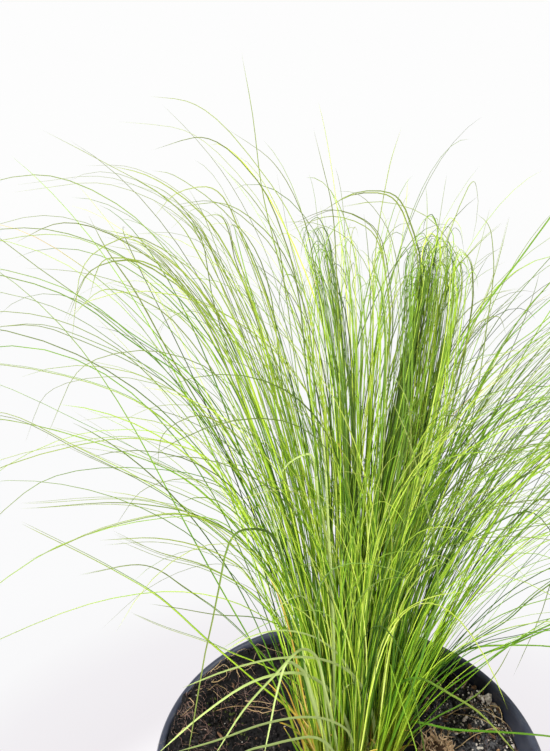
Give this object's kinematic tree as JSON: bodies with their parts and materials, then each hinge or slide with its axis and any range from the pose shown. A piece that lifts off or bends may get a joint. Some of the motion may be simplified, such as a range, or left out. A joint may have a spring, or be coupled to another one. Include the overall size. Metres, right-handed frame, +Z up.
{
  "type": "potted ornamental grass clump",
  "caption": "Clump of thread-leaved ornamental grass arching out of a round nursery pot filled with potting soil.",
  "frame": {"origin": "middle of the pot's underside, on the surface it stands on", "axes": "+Z up along the pot's axis; +X to the right and +Y away, as the picture views it"},
  "size_m": [0.5063, 0.4143, 0.4628],
  "materials": {
    "pot_plastic": "black nursery-pot plastic, satin, with fine scuffs and dusty streaks",
    "soil": "dark crumbly peat potting soil with root fibres, pale grains and wood chips",
    "crown_fibre": "brown fibrous leaf bases",
    "leaf": "living grass leaf, satin, bright lime green with yellower bases and olive tips",
    "dry_fibre": "dry tan roots and fallen leaves"
  },
  "bodies": {
    "root": {"crown": "crown_fibre", "fallen_leaf_front": "dry_fibre", "fallen_leaf_left": "dry_fibre", "old_stump": "crown_fibre", "pot": "pot_plastic", "root_back": "dry_fibre", "root_right_1": "dry_fibre", "root_right_2": "dry_fibre", "soil": "soil", "tuft_back_01": "leaf", "tuft_back_02": "leaf", "tuft_back_03": "leaf", "tuft_back_04": "leaf", "tuft_back_05": "leaf", "tuft_back_06": "leaf", "tuft_back_07": "leaf", "tuft_back_08": "leaf", "tuft_back_09": "leaf", "tuft_front_01": "leaf", "tuft_front_02": "leaf", "tuft_front_03": "leaf", "tuft_front_04": "leaf", "tuft_front_05": "leaf", "tuft_front_06": "leaf", "tuft_front_07": "leaf", "tuft_left_01": "leaf", "tuft_left_02": "leaf", "tuft_left_03": "leaf", "tuft_left_04": "leaf", "tuft_left_05": "leaf", "tuft_left_06": "leaf", "tuft_left_07": "leaf", "tuft_left_08": "leaf", "tuft_middle_01": "leaf", "tuft_middle_02": "leaf", "tuft_middle_03": "leaf", "tuft_middle_04": "leaf", "tuft_middle_05": "leaf", "tuft_middle_06": "leaf", "tuft_middle_07": "leaf", "tuft_middle_08": "leaf", "tuft_middle_09": "leaf", "tuft_middle_10": "leaf", "tuft_middle_11": "leaf", "tuft_right_01": "leaf", "tuft_right_02": "leaf", "tuft_right_03": "leaf", "tuft_right_04": "leaf", "tuft_right_05": "leaf", "tuft_right_06": "leaf", "tuft_right_07": "leaf", "tuft_right_08": "leaf", "tuft_right_09": "leaf"}
  },
  "joints": []
}
